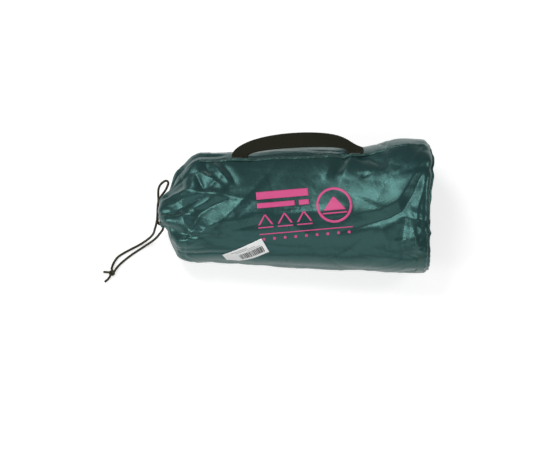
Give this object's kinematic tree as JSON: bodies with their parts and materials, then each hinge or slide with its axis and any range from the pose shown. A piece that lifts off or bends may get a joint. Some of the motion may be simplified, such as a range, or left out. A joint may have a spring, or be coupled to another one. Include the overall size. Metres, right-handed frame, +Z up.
{
  "type": "packed camping tarp",
  "caption": "Camping tarp rolled up in its drawstring stuff sack, with a webbing side handle, pegs and guy lines inside.",
  "frame": {"origin": "on the ground, under the middle of the packed sack's bounding box, free cords left out", "axes": "+X along the sack from the gathered mouth to the round base, +Y towards the side with the handle, +Z up from the ground"},
  "size_m": [0.4428, 0.191, 0.119],
  "materials": {
    "taffeta": "coated polyester taffeta, dark teal, soft sheen",
    "webbing": "woven webbing, brown-black, matt",
    "cord": "braided cord, dark olive-black, matt",
    "label": "white coated paper, satin",
    "tarp_cloth": "coated polyester, dark teal",
    "peg_steel": "zinc-plated wire",
    "slider_plastic": "moulded"
  },
  "bodies": {
    "root": {"sack_body": "taffeta", "base_panel": "taffeta", "base_seam_tape": "taffeta", "side_seam_ridge": "taffeta", "mouth_hem": "taffeta", "handle_end_left": "webbing", "handle_end_right": "webbing", "label": "label", "drawcord_in_hem": "cord", "drawcord_upper_run": "cord", "drawcord_lower_run": "cord", "drawcord_knot": "cord", "drawcord_end_long": "cord", "drawcord_end_short": "cord", "tarp_roll": "tarp_cloth", "tarp_corner_loop_1": "webbing", "tarp_corner_loop_2": "webbing", "tarp_corner_loop_3": "webbing", "tarp_corner_loop_4": "webbing", "peg_pouch": "taffeta", "peg_1": "peg_steel", "peg_2": "peg_steel", "peg_3": "peg_steel", "peg_4": "peg_steel", "peg_5": "peg_steel", "peg_6": "peg_steel", "peg_7": "peg_steel", "peg_8": "peg_steel", "guy_line_hank_1": "cord", "guy_line_hank_2": "cord", "guy_line_hank_3": "cord", "guy_line_hank_4": "cord", "guy_line_run_1": "cord", "guy_line_run_2": "cord", "guy_line_run_3": "cord", "guy_line_run_4": "cord"},
    "handle": {"handle_strap": "webbing"},
    "slider_1": {"line_slider_1": "slider_plastic"},
    "slider_2": {"line_slider_2": "slider_plastic"},
    "slider_3": {"line_slider_3": "slider_plastic"},
    "slider_4": {"line_slider_4": "slider_plastic"}
  },
  "joints": [
    {"name": "handle_swing", "type": "hinge", "parent": "root", "child": "handle", "pos_m": [0.00158, 0.06128, 0.08635], "axis": [0.9982, 0.0356, 0.0486], "range_deg": [-32, 108]},
    {"name": "slider_1_slide", "type": "slide", "parent": "root", "child": "slider_1", "axis": [0, 1, 0], "range_m": [-0.02, 0.02]},
    {"name": "slider_2_slide", "type": "slide", "parent": "root", "child": "slider_2", "axis": [0, 1, 0], "range_m": [-0.02, 0.02]},
    {"name": "slider_3_slide", "type": "slide", "parent": "root", "child": "slider_3", "axis": [0, 1, 0], "range_m": [-0.02, 0.02]},
    {"name": "slider_4_slide", "type": "slide", "parent": "root", "child": "slider_4", "axis": [0, 1, 0], "range_m": [-0.02, 0.02]}
  ]
}
